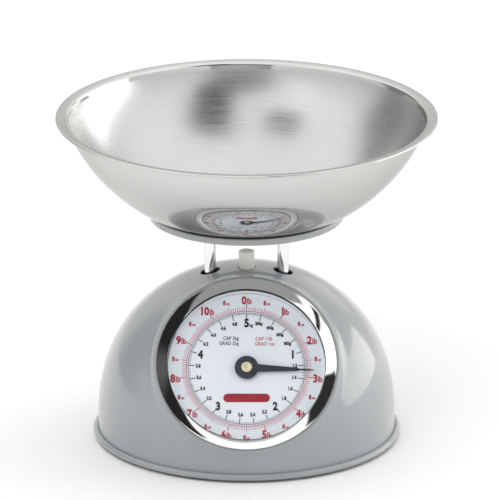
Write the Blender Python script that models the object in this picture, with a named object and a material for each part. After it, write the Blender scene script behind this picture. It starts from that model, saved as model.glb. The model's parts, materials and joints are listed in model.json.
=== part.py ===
"""Mechanical kitchen scale: pressed steel dome, tilted dial, spring mechanism and a lift-off bowl.

The shapes are written in millimetres and scaled to metres as each mesh is made. +Z is up, -Y is the
front, and the origin is on the worktop, under the centre of the dome. The scale carries a load of about
1.3 kg: its pointer stands a quarter turn from zero.
"""

import math

import bmesh
import bpy
from mathutils import Matrix, Vector

MM = 0.001

# Dome
DOME_R = 101.6
DOME_TOP = 119.8
DOME_SHOULDER_Z = 17.3
DOME_SIDE_PULL = 62.8
DOME_TOP_PULL = 55.5
DOME_WALL = 1.2
BEAD_R = 2.2
BEAD_RING_R = 102.8
BEAD_Z = 3.8
POST_HOLE_R = 6.8
KNOB_HOLE_R = 6.3

# Base
PLATE_Z = 3.0
PLATE_WALL = 1.2
PLATE_R = 99.4
FOOT_RING_R = 80.0
LUG_RING_R = 92.0

# Dial, measured in its own frame: local Y points up the dial and local Z out of it
DIAL_CENTRE = (0.0, -64.0, 72.1)
DIAL_LEAN = 52.7
BEZEL_R = 61.2
WINDOW_R = 53.4
WINDOW_DEPTH = 4.5
LENS_DEPTH = 5.2
LENS_WALL = 1.0
LENS_R = 56.0
CUP_R = 57.2
PRINT_DEPTH = 11.5
PRINT_WALL = 0.6
PRINT_R = 53.6
CUP_FLOOR_DEPTH = 12.4
CUP_WALL = 1.2
HUB_DEPTH = 7.3
HUB_WALL = 2.0
NEEDLE_TIP = 46.0
NEEDLE_TURN = 92.2

# Rack and pinion
GEAR_MODULE = 0.4
PINION_TEETH = 10
PINION_R = GEAR_MODULE * PINION_TEETH / 2
RACK_DEPTH = 15.6
RACK_WALL = 3.4
RACK_BACK_X = 6.0
DRIVE_DEPTH = 20.0
DRIVE_UP = 24.0

# Weighing carriage
POST_X = 24.85
POST_R = 3.9
POST_LOW = 38.0
POST_HIGH = 158.9
PLATFORM_R = 66.8
PLATFORM_LOW = 157.0
PLATFORM_FLOOR = 161.2
PLATFORM_RIM = 161.5
PLATFORM_WALL = 2.0
YOKE_Z = 46.0
PIN_R = 1.5
PIN_TIP_X = 34.5

# Parallel levers
LEVER_LENGTH = 45.0
LEVER_HEIGHTS = {"lower": 54.0, "upper": 96.0}
LEVER_X = 31.5
LEVER_WALL = 2.0
SHAFT_R = 2.0
UPRIGHT_X = 25.0

# Springs and zero adjustment
SPRING_X = 12.0
SPRING_R = 4.4
SPRING_WIRE_R = 0.6
SPRING_TURNS = 10
SPRING_STEPS = 6
SPRING_LOW = 49.2
SPRING_HIGH = 96.4
ANCHOR_Z = 99.5
BRIDGE_Z = 106.0
KNOB_R = 5.6
KNOB_LOW = 118.6
KNOB_HIGH = 131.3
ZERO_SCREW_R = 2.5

# Bowl
BOWL_FLOOR_R = 60.3
BOWL_FLOOR_Z = 161.5
BOWL_WALL = 0.9
BOWL_TOP_R = 122.9
BOWL_TOP_Z = 225.0
RIM_R = 130.0
RIM_Z = 227.3

GAP = 0.3

# Facets round a turned piece
LARGE_STEPS = 40
ROUND_STEPS = 20
SMALL_STEPS = 16
TINY_STEPS = 12
SIDES = {"left": -1, "right": 1}


def clear_scene():
    for obj in list(bpy.data.objects):
        bpy.data.objects.remove(obj)


def material(name, colour, roughness, metallic=0.0, alpha=1.0):
    made = bpy.data.materials.new(name)
    made.use_nodes = True
    shader = made.node_tree.nodes["Principled BSDF"]
    shader.inputs["Base Color"].default_value = (*colour, 1.0)
    shader.inputs["Roughness"].default_value = roughness
    shader.inputs["Metallic"].default_value = metallic
    shader.inputs["Alpha"].default_value = alpha
    return made


clear_scene()
GREY_PAINT = material("grey_enamel", (0.38, 0.40, 0.41), 0.2)
STEEL = material("polished_steel", (0.62, 0.61, 0.59), 0.12, 1.0)
CHROME = material("chrome", (0.80, 0.80, 0.82), 0.06, 1.0)
ZINC = material("zinc_plate", (0.52, 0.53, 0.55), 0.4, 1.0)
SPRING_STEEL = material("spring_steel", (0.30, 0.30, 0.31), 0.35, 1.0)
BRASS = material("brass", (0.80, 0.62, 0.34), 0.3, 1.0)
WHITE_CARD = material("dial_white", (0.74, 0.79, 0.83), 0.5)
RED_INK = material("badge_red", (0.45, 0.01, 0.04), 0.4)
NEEDLE_BLACK = material("needle_black", (0.02, 0.03, 0.045), 0.4)
CREAM = material("cream_plastic", (0.70, 0.69, 0.57), 0.45)
CLEAR = material("clear_plastic", (0.9, 0.93, 0.95), 0.03, 0.0, 0.25)
RUBBER = material("rubber", (0.03, 0.03, 0.03), 0.8)


def empty(name, at, lean=0.0):
    """A marker on a joint's axis, which the pieces that turn or slide there are parented to."""
    marker = bpy.data.objects.new(name, None)
    marker.empty_display_size = 0.01
    marker.location = Vector(at) * MM
    marker.rotation_euler.x = math.radians(lean)
    bpy.context.scene.collection.objects.link(marker)
    return marker


def add(name, bm, finish, parent=None, at=(0, 0, 0), turn=(0, 0, 0)):
    """Makes a named object of a mesh in millimetres, moved to a place in its parent's frame."""
    bmesh.ops.remove_doubles(bm, verts=bm.verts, dist=1e-4)
    bmesh.ops.recalc_face_normals(bm, faces=bm.faces)
    bmesh.ops.scale(bm, vec=(MM, MM, MM), verts=bm.verts)
    mesh = bpy.data.meshes.new(name)
    bm.to_mesh(mesh)
    bm.free()
    mesh.shade_smooth()
    mesh.set_sharp_from_angle(angle=math.radians(35))
    if finish:
        mesh.materials.append(finish)
    obj = bpy.data.objects.new(name, mesh)
    bpy.context.scene.collection.objects.link(obj)
    obj.parent = parent
    obj.location = Vector(at) * MM
    obj.rotation_euler = [math.radians(angle) for angle in turn]
    return obj


def combine(obj, tool, operation="DIFFERENCE"):
    modifier = obj.modifiers.new(tool.name, "BOOLEAN")
    modifier.operation = operation
    modifier.object = tool
    tool.hide_render = True
    tool.display_type = "WIRE"
    return obj


def lathe(outline, steps=ROUND_STEPS):
    """Turns a closed outline of (radius, height) points about Z."""
    bm = bmesh.new()
    verts = [bm.verts.new((radius, 0, height)) for radius, height in outline]
    edges = []
    for start, end in zip(verts, verts[1:] + verts[:1]):
        if start.co.x > 0 or end.co.x > 0:
            edges.append(bm.edges.new((start, end)))
    turn = {"cent": (0, 0, 0), "axis": (0, 0, 1), "angle": math.tau, "steps": steps}
    bmesh.ops.spin(bm, geom=verts + edges, use_merge=True, **turn)
    return bm


def rod(radius, low, high, steps=SMALL_STEPS):
    """A round bar along Z."""
    return lathe([(0, high), (radius, high), (radius, low), (0, low)], steps)


def stepped(sizes, steps=SMALL_STEPS):
    """A turned piece of (radius, low, high) lengths, given from the top down."""
    outline = [(0, sizes[0][2])]
    for radius, low, high in sizes:
        outline += [(radius, high), (radius, low)]
    return lathe(outline + [(0, sizes[-1][1])], steps)


def ring(inner, outer, low, high, steps=ROUND_STEPS):
    return lathe([(inner, high), (outer, high), (outer, low), (inner, low)], steps)


def block(size, centre):
    bm = bmesh.new()
    bmesh.ops.create_cube(bm, size=1)
    bmesh.ops.scale(bm, vec=size, verts=bm.verts)
    bmesh.ops.translate(bm, vec=centre, verts=bm.verts)
    return bm


def sheet(outline, low, high):
    """A flat outline of (x, y) points, extruded along Z."""
    bm = bmesh.new()
    face = bm.faces.new([bm.verts.new((x, y, low)) for x, y in outline])
    made = bmesh.ops.extrude_face_region(bm, geom=[face])["geom"]
    lifted = [item for item in made if isinstance(item, bmesh.types.BMVert)]
    bmesh.ops.translate(bm, vec=(0, 0, high - low), verts=lifted)
    return bm


def hexagon(radius):
    return [(radius * math.cos(k * math.pi / 3), radius * math.sin(k * math.pi / 3)) for k in range(6)]


def slot_outline(half_width, low, high, steps=6):
    """A slot along Y whose round ends are centred on low and high."""
    turns = [math.pi * k / steps for k in range(steps + 1)]
    top = [(half_width * math.cos(t), high + half_width * math.sin(t)) for t in turns]
    bottom = [(-half_width * math.cos(t), low - half_width * math.sin(t)) for t in turns]
    return top + bottom


def arc(centre, radius, start, end, steps):
    """Points of (radius, height) round a centre, with the angles in degrees."""
    points = []
    for k in range(steps + 1):
        angle = math.radians(start + (end - start) * k / steps)
        points.append((centre[0] + radius * math.cos(angle), centre[1] + radius * math.sin(angle)))
    return points


def bezier(start, pull_start, pull_end, end, steps):
    points = []
    for k in range(steps + 1):
        t = k / steps
        weights = ((1 - t) ** 3, 3 * t * (1 - t) ** 2, 3 * t * t * (1 - t), t**3)
        controls = (start, pull_start, pull_end, end)
        points.append(tuple(sum(w * c[axis] for w, c in zip(weights, controls)) for axis in (0, 1)))
    return points


def hole(name, radius, low, high, parent=None, at=(0, 0, 0), turn=(0, 0, 0), steps=SMALL_STEPS):
    """A round cutter along Z in its own frame."""
    return add(name, rod(radius, low, high, steps), None, parent, at, turn)


ALONG_X = (0, 90, 0)

# ---------------------------------------------------------------- housing

dial = empty("dial_axis", DIAL_CENTRE, DIAL_LEAN)


def dome_curve(inset, steps):
    """From the top of the straight side up to the crown."""
    radius, top = DOME_R - inset, DOME_TOP - inset
    side, crown = (radius, DOME_SHOULDER_Z + DOME_SIDE_PULL), (DOME_TOP_PULL, top)
    return bezier((radius, DOME_SHOULDER_Z), side, crown, (0, top), steps)


def make_dome():
    inner = DOME_R - DOME_WALL
    bead = arc((BEAD_RING_R, BEAD_Z), BEAD_R, 110, -150, 5)
    outline = dome_curve(0, 8)[::-1] + bead + [(inner, BEAD_Z)] + dome_curve(DOME_WALL, 8)
    dome = add("dome_housing", lathe(outline, LARGE_STEPS), GREY_PAINT)
    collar = ring(BEZEL_R - 1, BEZEL_R + GAP + DOME_WALL, -7.5, -0.4, LARGE_STEPS)
    combine(dome, add("dial_collar", collar, None, dial), "UNION")
    combine(dome, hole("dial_cutter", BEZEL_R + GAP, -22, 30, dial, steps=LARGE_STEPS))
    for side, sign in SIDES.items():
        place = (sign * POST_X, 0, 0)
        combine(dome, hole(f"post_cutter_{side}", POST_HOLE_R, 100, 140, at=place, steps=ROUND_STEPS))
    combine(dome, hole("knob_cutter", KNOB_HOLE_R, 112, 140, steps=ROUND_STEPS))
    for k, angle in enumerate((90, 210, 330)):
        turn = math.radians(angle)
        place = (LUG_RING_R * math.cos(turn), LUG_RING_R * math.sin(turn), 0)
        lug = block((17, 12, 5), (0.3, 0, 12))
        combine(dome, add(f"lug_{k}", lug, None, None, place, (0, 0, angle)), "UNION")
        combine(dome, hole(f"lug_cutter_{k}", 1.8, 5, 20, at=place, steps=TINY_STEPS))


def make_base():
    rim_z = PLATE_Z + 5.5
    low, high = PLATE_Z, PLATE_Z + PLATE_WALL
    inner = PLATE_R - PLATE_WALL
    outline = [(0, high), (inner, high), (inner, rim_z), (PLATE_R, rim_z), (PLATE_R, low + 0.8)]
    outline += [(PLATE_R - 0.8, low), (0, low)]
    # Half a facet round, so that no hole is centred on an edge.
    plate = add("base_plate", lathe(outline, LARGE_STEPS), ZINC, turn=(0, 0, 180 / LARGE_STEPS))
    for k, angle in enumerate((45, 135, 225, 315)):
        turn = math.radians(angle)
        place = (FOOT_RING_R * math.cos(turn), FOOT_RING_R * math.sin(turn), 0)
        button = [(4.0, high + GAP, high + 2.3), (2.6, low - GAP, high + GAP)]
        pad = [(8.0, 0.8, low - GAP), (7.4, 0, 0.8)]
        add(f"foot_{k + 1}", stepped(button + pad), RUBBER, None, place)
        combine(plate, hole(f"foot_cutter_{k}", 2.9, 0, 8, at=place, steps=SMALL_STEPS))
    for k, angle in enumerate((90, 210, 330)):
        turn = math.radians(angle)
        place = (LUG_RING_R * math.cos(turn), LUG_RING_R * math.sin(turn), 0)
        screw = stepped([(1.5, low - GAP, 14.0), (3.2, 0.9, low - GAP)], TINY_STEPS)
        add(f"housing_screw_{k + 1}", screw, ZINC, None, place)
        combine(plate, hole(f"screw_cutter_{k}", 1.8, 0, 8, at=place, steps=SMALL_STEPS))
    return plate


def make_chassis(plate):
    floor = PLATE_Z + PLATE_WALL + GAP
    for side, sign in SIDES.items():
        top, foot = BRIDGE_Z - 1.3, floor + 1.6
        outline = [(36, top), (38, top), (38, foot), (48, foot), (48, floor), (36, floor)]
        leg = sheet([(sign * x, z) for x, z in outline], -10, 10)
        leg = add(f"chassis_leg_{side}", leg, ZINC, turn=(90, 0, 0))
        place = (sign * 43, 0, 0)
        combine(leg, hole(f"leg_cutter_{side}", 1.8, 0, 10, at=place, steps=TINY_STEPS))
        combine(plate, hole(f"leg_plate_cutter_{side}", 1.8, 0, 8, at=place, steps=TINY_STEPS))
        screw = stepped([(3.2, floor + 1.9, floor + 3.6), (1.5, PLATE_Z + 0.1, floor + 1.9)], TINY_STEPS)
        add(f"chassis_screw_{side}", screw, ZINC, None, place)
    bridge = add("chassis_bridge", block((77, 22, 2), (0, 0, BRIDGE_Z)), ZINC)
    for side, sign in SIDES.items():
        combine(bridge, hole(f"bridge_cutter_{side}", 5.5, 100, 112, at=(sign * POST_X, 0, 0)))
    combine(bridge, hole("bridge_cutter_screw", ZERO_SCREW_R + GAP, 100, 112))


def make_uprights(plate):
    floor = PLATE_Z + PLATE_WALL + GAP
    for side, sign in SIDES.items():
        bar = block((2, 10, 100 - floor), (sign * UPRIGHT_X, LEVER_LENGTH, 50 + floor / 2))
        upright = add(f"rear_upright_{side}", bar, ZINC)
        foot = block((12, 10, 1.6), (sign * (UPRIGHT_X - 5.5), LEVER_LENGTH, floor + 0.8))
        combine(upright, add(f"upright_foot_{side}", foot, None), "UNION")
        for level, height in LEVER_HEIGHTS.items():
            place = (sign * UPRIGHT_X, LEVER_LENGTH, height)
            bearing = hole(f"bearing_{level}_{side}", SHAFT_R + 0.2, -4, 4, None, place, ALONG_X)
            combine(upright, bearing)
        place = (sign * (UPRIGHT_X - 6), LEVER_LENGTH, 0)
        combine(upright, hole(f"upright_foot_cutter_{side}", 1.8, 0, 10, at=place, steps=TINY_STEPS))
        combine(plate, hole(f"upright_plate_cutter_{side}", 1.8, 0, 8, at=place, steps=TINY_STEPS))
        screw = stepped([(3.2, floor + 1.9, floor + 3.6), (1.5, PLATE_Z + 0.1, floor + 1.9)], TINY_STEPS)
        add(f"upright_screw_{side}", screw, ZINC, None, place)


# ---------------------------------------------------------------- dial


def make_bezel():
    """A ring whose face slopes in to a short wall round the window, with a skirt behind it."""
    face = [(BEZEL_R - 0.7, 0.0), (BEZEL_R - 0.2, -0.15), (BEZEL_R, -0.6)]
    skirt = [(BEZEL_R, -6.5), (BEZEL_R - 1.0, -6.5), (BEZEL_R - 1.0, -2.2)]
    low = -WINDOW_DEPTH - 0.4
    inside = [(WINDOW_R + 0.9, low), (WINDOW_R, low), (WINDOW_R, -2.1)]
    slope = [(WINDOW_R + 0.5, -1.65), (BEZEL_R - 1.3, -0.3)]
    add("bezel_ring", lathe(face + skirt + inside + slope, LARGE_STEPS), CHROME, dial)


def make_dial_case():
    add("lens", rod(LENS_R, -LENS_DEPTH - LENS_WALL, -LENS_DEPTH, LARGE_STEPS), CLEAR, dial)
    step = LENS_DEPTH + LENS_WALL + GAP
    inner, seat, floor = PRINT_R + 0.4, LENS_R + GAP, CUP_FLOOR_DEPTH
    outline = [(2.9, -floor), (inner, -floor), (inner, -step), (seat, -step), (seat, -LENS_DEPTH)]
    outline += [(CUP_R, -LENS_DEPTH), (CUP_R, -floor - CUP_WALL), (2.9, -floor - CUP_WALL)]
    add("dial_cup", lathe(outline, LARGE_STEPS), WHITE_CARD, dial)
    plate = ring(3.2, PRINT_R, -PRINT_DEPTH - PRINT_WALL, -PRINT_DEPTH, LARGE_STEPS)
    add("dial_plate", plate, WHITE_CARD, dial)
    half, end = 2.95, 12.85
    badge = sheet(slot_outline(half, -end, end), -0.35, 0.0)
    add("dial_badge", badge, RED_INK, dial, (0, -20.9, -PRINT_DEPTH + 0.65), (0, 0, 90))


def make_stays():
    """Two bars that hold the dial cup to the chassis legs."""
    low, high = -37.0, -CUP_FLOOR_DEPTH - CUP_WALL - GAP
    for side, sign in SIDES.items():
        add(f"cup_stay_{side}", block((2, 10, high - low), (sign * 37, 35, (low + high) / 2)), ZINC, dial)


def make_gear_bridge():
    """A bracket behind the dial that holds the rear bearing and guides the rack's back."""
    top = -CUP_FLOOR_DEPTH - CUP_WALL - GAP
    low = -RACK_DEPTH - RACK_WALL - 2.7
    bridge = add("gear_bridge", block((26, 12, 1.5), (0, 0, low + 0.75)), ZINC, dial)
    for side, sign in SIDES.items():
        leg = block((1.5, 12, top - low), (sign * 12.25, 0, (top + low) / 2))
        foot = block((7, 12, 1.2), (sign * 15, 0, top - 0.6))
        combine(bridge, add(f"bridge_leg_{side}", leg, None, dial), "UNION")
        combine(bridge, add(f"bridge_foot_{side}", foot, None, dial), "UNION")
    guide_low, guide_high = low + 0.5, -RACK_DEPTH + 0.4
    guide_at = (RACK_BACK_X + GAP + 1, 0, (guide_low + guide_high) / 2)
    guide = block((2, 10, guide_high - guide_low), guide_at)
    combine(bridge, add("rack_guide", guide, None, dial), "UNION")
    combine(bridge, hole("bridge_bearing", 1.1, low - 2, low + 4, dial))
    floor = CUP_FLOOR_DEPTH
    flange = floor + CUP_WALL + GAP
    outline = [(1.1, -floor - 0.1), (2.6, -floor - 0.1), (2.6, -flange), (4.0, -flange)]
    outline += [(4.0, -flange - 1), (1.1, -flange - 1)]
    add("pinion_bush", lathe(outline, SMALL_STEPS), BRASS, dial)


# ---------------------------------------------------------------- pointer


def pinion_outline():
    """Each tooth as (radius, half width) steps from its root to its tip and back."""
    steps = ((1.48, 0.30), (PINION_R - 0.1, 0.27), (2.2, 0.17), (2.34, 0.10))
    outline = []
    for tooth in range(PINION_TEETH):
        middle = math.tau * (tooth + 0.5) / PINION_TEETH
        rising = [(radius, -half) for radius, half in steps]
        falling = [(radius, half) for radius, half in steps[::-1]]
        for radius, half in rising + falling:
            angle = middle + half / radius
            outline.append((radius * math.cos(angle), radius * math.sin(angle)))
    return outline


def make_pointer():
    top = -HUB_DEPTH
    teeth = sheet(pinion_outline(), -RACK_DEPTH - RACK_WALL - 0.2, -RACK_DEPTH + 0.3)
    shaft = add("pinion_shaft", teeth, ZINC, dial)
    spindle = rod(1.0, -RACK_DEPTH - RACK_WALL - 2.6, top - HUB_WALL + 0.7)
    combine(shaft, add("spindle", spindle, None, dial), "UNION")

    hub = lathe([(0, top), (7.4, top), (8.1, top - 0.6), (8.1, top - HUB_WALL), (0, top - HUB_WALL)])
    pointer = add("pointer", hub, NEEDLE_BLACK, dial, turn=(0, 0, -NEEDLE_TURN))
    arm_low = top - HUB_WALL
    edge = [(2.6, 6), (1.0, 34.5), (0.45, 36.5), (0.35, NEEDLE_TIP)]
    outline = [(-x, y) for x, y in edge] + edge[::-1]
    blade = sheet(outline, arm_low, arm_low + 0.7)
    combine(pointer, add("pointer_blade", blade, None, dial, turn=(0, 0, -NEEDLE_TURN)), "UNION")
    combine(pointer, hole("pointer_bore", 1.3, arm_low - 2, arm_low + 1.0, dial))
    cap = [(0, top + 0.55), (1.0, top + 0.6), (1.2, top + 0.95), (3.3, top + 0.95), (3.75, top + 0.6)]
    add("pointer_cap", lathe(cap + [(3.75, top + GAP), (0, top + GAP)], SMALL_STEPS), BRASS, dial)


# ---------------------------------------------------------------- rack


def make_rack():
    """Its slotted head rides on the drive pin, because the carriage moves straight down and it slants."""
    pitch = math.pi * GEAR_MODULE
    low, high = -RACK_DEPTH - RACK_WALL, -RACK_DEPTH
    root_x, tip_x = PINION_R + 0.5, PINION_R - 0.34
    outline = [(RACK_BACK_X, -14), (root_x, -14)]
    for tooth in range(-7, 12):
        middle = tooth * pitch
        sides = [(root_x, -0.41), (tip_x, -0.12), (tip_x, 0.12), (root_x, 0.41)]
        outline += [(x, middle + across) for x, across in sides]
    outline += [(root_x, 29), (RACK_BACK_X, 29)]
    rack = add("rack", sheet(outline, low, high), ZINC, dial)
    head_low, head_high = -30.5, -15.0
    middle_x = (root_x + RACK_BACK_X) / 2
    head_size = (RACK_BACK_X - root_x, 9, head_high - head_low)
    head = block(head_size, (middle_x, DRIVE_UP, (head_low + head_high) / 2))
    combine(rack, add("rack_head", head, None, dial), "UNION")
    slot = sheet(slot_outline(PIN_R + 0.15, 17.2, 27.6), -6, 6)
    combine(rack, add("rack_slot", slot, None, dial, (middle_x, DRIVE_UP, 0), (-90, 0, 90)))


# ---------------------------------------------------------------- carriage

carriage = empty("carriage_axis", (0, 0, 0))


def make_platform():
    low, under = PLATFORM_LOW, PLATFORM_FLOOR - PLATFORM_WALL
    outline = [(0, PLATFORM_FLOOR), (64.0, PLATFORM_FLOOR), (65.0, PLATFORM_RIM), (66.3, PLATFORM_RIM)]
    outline += [(PLATFORM_R, PLATFORM_RIM - 0.6), (PLATFORM_R, low + 0.6), (66.2, low), (65.6, low)]
    outline += [(64.6, under), (0, under)]
    platform = add("platform", lathe(outline, LARGE_STEPS), GREY_PAINT, carriage)
    for side, sign in SIDES.items():
        place = (sign * POST_X, 0, 0)
        combine(platform, hole(f"platform_hole_{side}", 2.4, 150, 170, carriage, place))
        recess = hole(f"platform_recess_{side}", 4.1, 160.2, 170, carriage, place, steps=ROUND_STEPS)
        combine(platform, recess)
        screw = stepped([(3.8, 160.5, 161.0), (2.0, 148, 160.5)], TINY_STEPS)
        add(f"platform_screw_{side}", screw, ZINC, carriage, place)


def make_posts():
    for side, sign in SIDES.items():
        place = (sign * POST_X, 0, 0)
        outline = [(0, POST_HIGH), (POST_R, POST_HIGH), (POST_R, POST_LOW + 0.6)]
        outline += [(POST_R - 0.6, POST_LOW), (0, POST_LOW)]
        post = add(f"post_{side}", lathe(outline), CHROME, carriage, place)
        combine(post, hole(f"post_bore_{side}", 2.3, 146, 170, carriage, place))
        nut = sheet(hexagon(5.6), YOKE_Z - 5.6, YOKE_Z - 2.3)
        nut = add(f"post_nut_{side}", nut, ZINC, carriage, place)
        combine(nut, hole(f"nut_bore_{side}", POST_R + GAP, 30, 60, carriage, place))
        for level, height in LEVER_HEIGHTS.items():
            centre = (0, 0, height)
            bore_name = f"pin_bore_{level}_{side}"
            combine(post, hole(bore_name, PIN_R + GAP, sign * 10, sign * 40, carriage, centre, ALONG_X))
            turned = [(0, 21.4), (PIN_R, 21.4), (PIN_R, 33.2), (2.8, 33.2), (2.8, PIN_TIP_X)]
            turned += [(0, PIN_TIP_X)]
            pin = lathe([(radius, sign * x) for radius, x in turned[::-1]], TINY_STEPS)
            add(f"{level}_link_pin_{side}", pin, ZINC, carriage, centre, ALONG_X)


def make_yoke():
    yoke = add("yoke", block((59, 12, 4), (0, 0, YOKE_Z)), ZINC, carriage)
    for side, sign in SIDES.items():
        post_at, eye_at = (sign * POST_X, 0, 0), (sign * SPRING_X, 0, 0)
        combine(yoke, hole(f"yoke_bore_{side}", POST_R + GAP, 30, 60, carriage, post_at))
        combine(yoke, hole(f"yoke_eye_{side}", 1.2, 30, 60, carriage, eye_at, steps=TINY_STEPS))


def make_drive_arm():
    """Clamped to the right-hand post, it reaches forward and carries the drive pin."""
    dial_frame = Matrix.Translation(DIAL_CENTRE) @ Matrix.Rotation(math.radians(DIAL_LEAN), 4, "X")
    pin_at = dial_frame @ Vector((0, DRIVE_UP, -DRIVE_DEPTH))
    low, high = pin_at.z - 2, pin_at.z + 2
    front, back = pin_at.y - 2, pin_at.y + 3
    outline = [(8, front), (22.4, front), (22.4, -4.9), (19.9, -3.6), (19.9, back), (8, back)]
    arm = add("drive_arm", sheet(outline, low, high), ZINC, carriage)
    combine(arm, hole("drive_pin_bore", PIN_R + 0.2, 0, 14.3, carriage, pin_at, ALONG_X))
    clamp = rod(5.6, low - 1.5, high + 1.5, ROUND_STEPS)
    combine(arm, add("arm_clamp", clamp, None, carriage, (POST_X, 0, 0)), "UNION")
    combine(arm, hole("clamp_bore", POST_R + GAP, 40, 120, carriage, (POST_X, 0, 0)))
    add("drive_pin", rod(PIN_R, 1.9, 14), ZINC, carriage, pin_at, ALONG_X)


# ---------------------------------------------------------------- levers


def make_levers():
    """Each pair of arms is fixed to a shaft at the back, and its slotted ends take the carriage's pins."""
    for level, height in LEVER_HEIGHTS.items():
        axis = empty(f"{level}_lever_axis", (0, LEVER_LENGTH, height))
        add(f"{level}_lever_shaft", rod(SHAFT_R, -34.0, 34.0), ZINC, axis, turn=ALONG_X)
        for side, sign in SIDES.items():
            name, place = f"{level}_lever_{side}", (sign * LEVER_X, 0, 0)
            outline = arc((0, 0), 3.6, 90, -90, 6) + arc((-LEVER_LENGTH - 0.8, 0), 4.2, -90, -270, 6)
            arm = sheet(outline, -LEVER_WALL / 2, LEVER_WALL / 2)
            arm = add(name, arm, ZINC, axis, place, (90, 0, 90))
            combine(arm, hole(f"{name}_bore", SHAFT_R + 0.2, -4, 4, axis, place, ALONG_X))
            slot = sheet(slot_outline(PIN_R + 0.35, -LEVER_LENGTH - 2.1, -LEVER_LENGTH + 0.5), -4, 4)
            combine(arm, add(f"{name}_slot", slot, None, axis, place, ALONG_X))


# ---------------------------------------------------------------- springs and zero adjustment


def make_spring(side, sign):
    """A close helix with a straight tail at each end, which passes through its bar."""
    points = [(0, 0, SPRING_LOW - 4.5), (0, 0, SPRING_LOW - 0.6)]
    steps = SPRING_TURNS * SPRING_STEPS
    rise = SPRING_HIGH - SPRING_LOW
    for k in range(steps + 1):
        turn = math.tau * SPRING_TURNS * k / steps
        height = SPRING_LOW + rise * k / steps
        points.append((SPRING_R * math.cos(turn), SPRING_R * math.sin(turn), height))
    points += [(0, 0, SPRING_HIGH + 0.6), (0, 0, SPRING_HIGH + 4.5)]
    curve = bpy.data.curves.new(f"spring_{side}", "CURVE")
    curve.dimensions = "3D"
    curve.bevel_depth = SPRING_WIRE_R * MM
    curve.bevel_resolution = 0
    curve.use_fill_caps = True
    spline = curve.splines.new("POLY")
    spline.points.add(len(points) - 1)
    for point, place in zip(spline.points, points):
        point.co = (*(Vector(place) * MM), 1)
    curve.materials.append(SPRING_STEEL)
    spring = bpy.data.objects.new(f"spring_{side}", curve)
    spring.location.x = sign * SPRING_X * MM
    bpy.context.scene.collection.objects.link(spring)


def make_zero_adjustment():
    anchor = add("spring_anchor", block((34, 10, 4), (0, 0, ANCHOR_Z)), ZINC)
    combine(anchor, hole("anchor_bore", ZERO_SCREW_R + GAP, 90, 110))
    for side, sign in SIDES.items():
        eye_at = (sign * SPRING_X, 0, 0)
        combine(anchor, hole(f"anchor_eye_{side}", 1.2, 90, 110, at=eye_at, steps=TINY_STEPS))
        make_spring(side, sign)
    knob_axis = empty("knob_axis", (0, 0, 0))
    high, bore = KNOB_HIGH, ZERO_SCREW_R + GAP
    knob = [(0, high - 0.5), (2.6, high - 0.4), (3.0, high), (KNOB_R - 0.9, high)]
    knob += [(KNOB_R - 0.2, high - 0.4), (KNOB_R - 0.05, high - 1.3), (KNOB_R, KNOB_LOW)]
    add("zero_knob", lathe(knob + [(bore, KNOB_LOW), (bore, 126), (0, 126)]), CREAM, knob_axis)
    screw = stepped([(ZERO_SCREW_R, 108.9, 125.7), (5.0, 107.4, 108.9), (ZERO_SCREW_R, 90, 107.4)])
    add("zero_screw", screw, ZINC, knob_axis)


# ---------------------------------------------------------------- bowl


def bowl_curve(inset, steps):
    """From the edge of the flat bottom up to the foot of the rim."""
    low, radius = BOWL_FLOOR_Z + inset, BOWL_TOP_R - inset
    floor, side = (BOWL_FLOOR_R + 15.9, low), (radius - 9, BOWL_TOP_Z - 31)
    return bezier((BOWL_FLOOR_R, low), floor, side, (radius, BOWL_TOP_Z), steps)


def make_bowl():
    lip = [(BOWL_TOP_R + 1.2, 226.3), (RIM_R - 0.5, 226.3), (RIM_R, 226.8), (RIM_R - 0.5, RIM_Z)]
    lip += [(BOWL_TOP_R + 0.8, RIM_Z)]
    outer, inner = bowl_curve(0, 7), bowl_curve(BOWL_WALL, 7)
    outline = [(0, BOWL_FLOOR_Z + BOWL_WALL)] + inner + lip[::-1] + outer[::-1] + [(0, BOWL_FLOOR_Z)]
    add("bowl", lathe(outline, LARGE_STEPS), STEEL, carriage)


base = make_base()
make_dome()
make_chassis(base)
make_uprights(base)
make_bezel()
make_dial_case()
make_stays()
make_gear_bridge()
make_pointer()
make_rack()
make_platform()
make_posts()
make_yoke()
make_drive_arm()
make_levers()
make_zero_adjustment()
make_bowl()
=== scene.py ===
import json
import math

import bmesh
import bpy
import numpy as np
from mathutils import Matrix, Vector


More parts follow.
